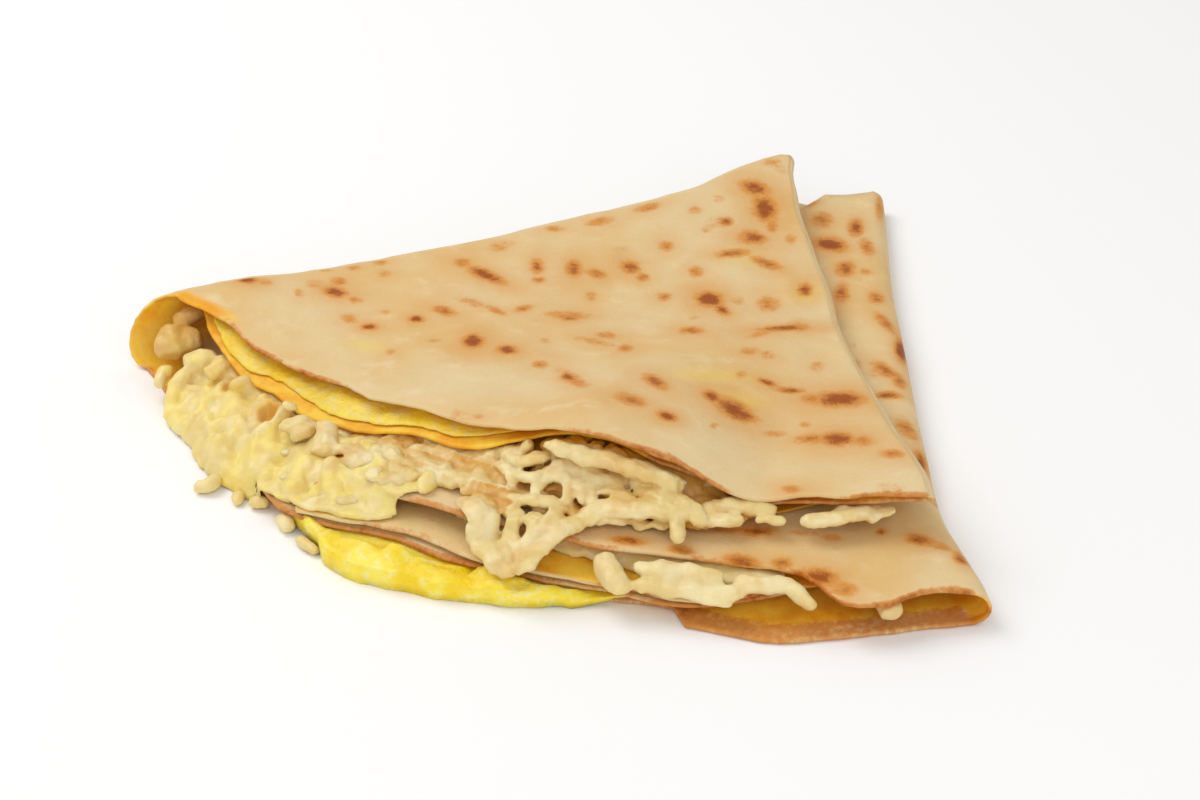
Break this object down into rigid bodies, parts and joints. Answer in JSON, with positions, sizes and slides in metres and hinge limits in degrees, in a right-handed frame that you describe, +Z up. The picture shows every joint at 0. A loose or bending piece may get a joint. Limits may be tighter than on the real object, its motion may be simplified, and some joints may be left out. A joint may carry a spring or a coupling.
{
  "type": "filled crepe",
  "caption": "Thin round crepe with egg and grated cheese, folded in half and then in three into a wedge, with the filling showing at its curved front edge.",
  "frame": {"origin": "centre of the footprint, on the surface that the crepe lies on", "axes": "+Z up; -Y towards the curved front edge where the filling shows; +Y towards the tip of the wedge, which lies to the +X side"},
  "size_m": [0.2033, 0.208, 0.029],
  "materials": {
    "crepe": "matt beige batter with browned spots",
    "egg": "moist yellow cooked egg",
    "cheese": "soft cream cheese, partly melted"
  },
  "bodies": {
    "root": {"crepe": "crepe", "egg": "egg", "cheese_heap": "cheese", "cheese_lower": "cheese"}
  },
  "joints": []
}
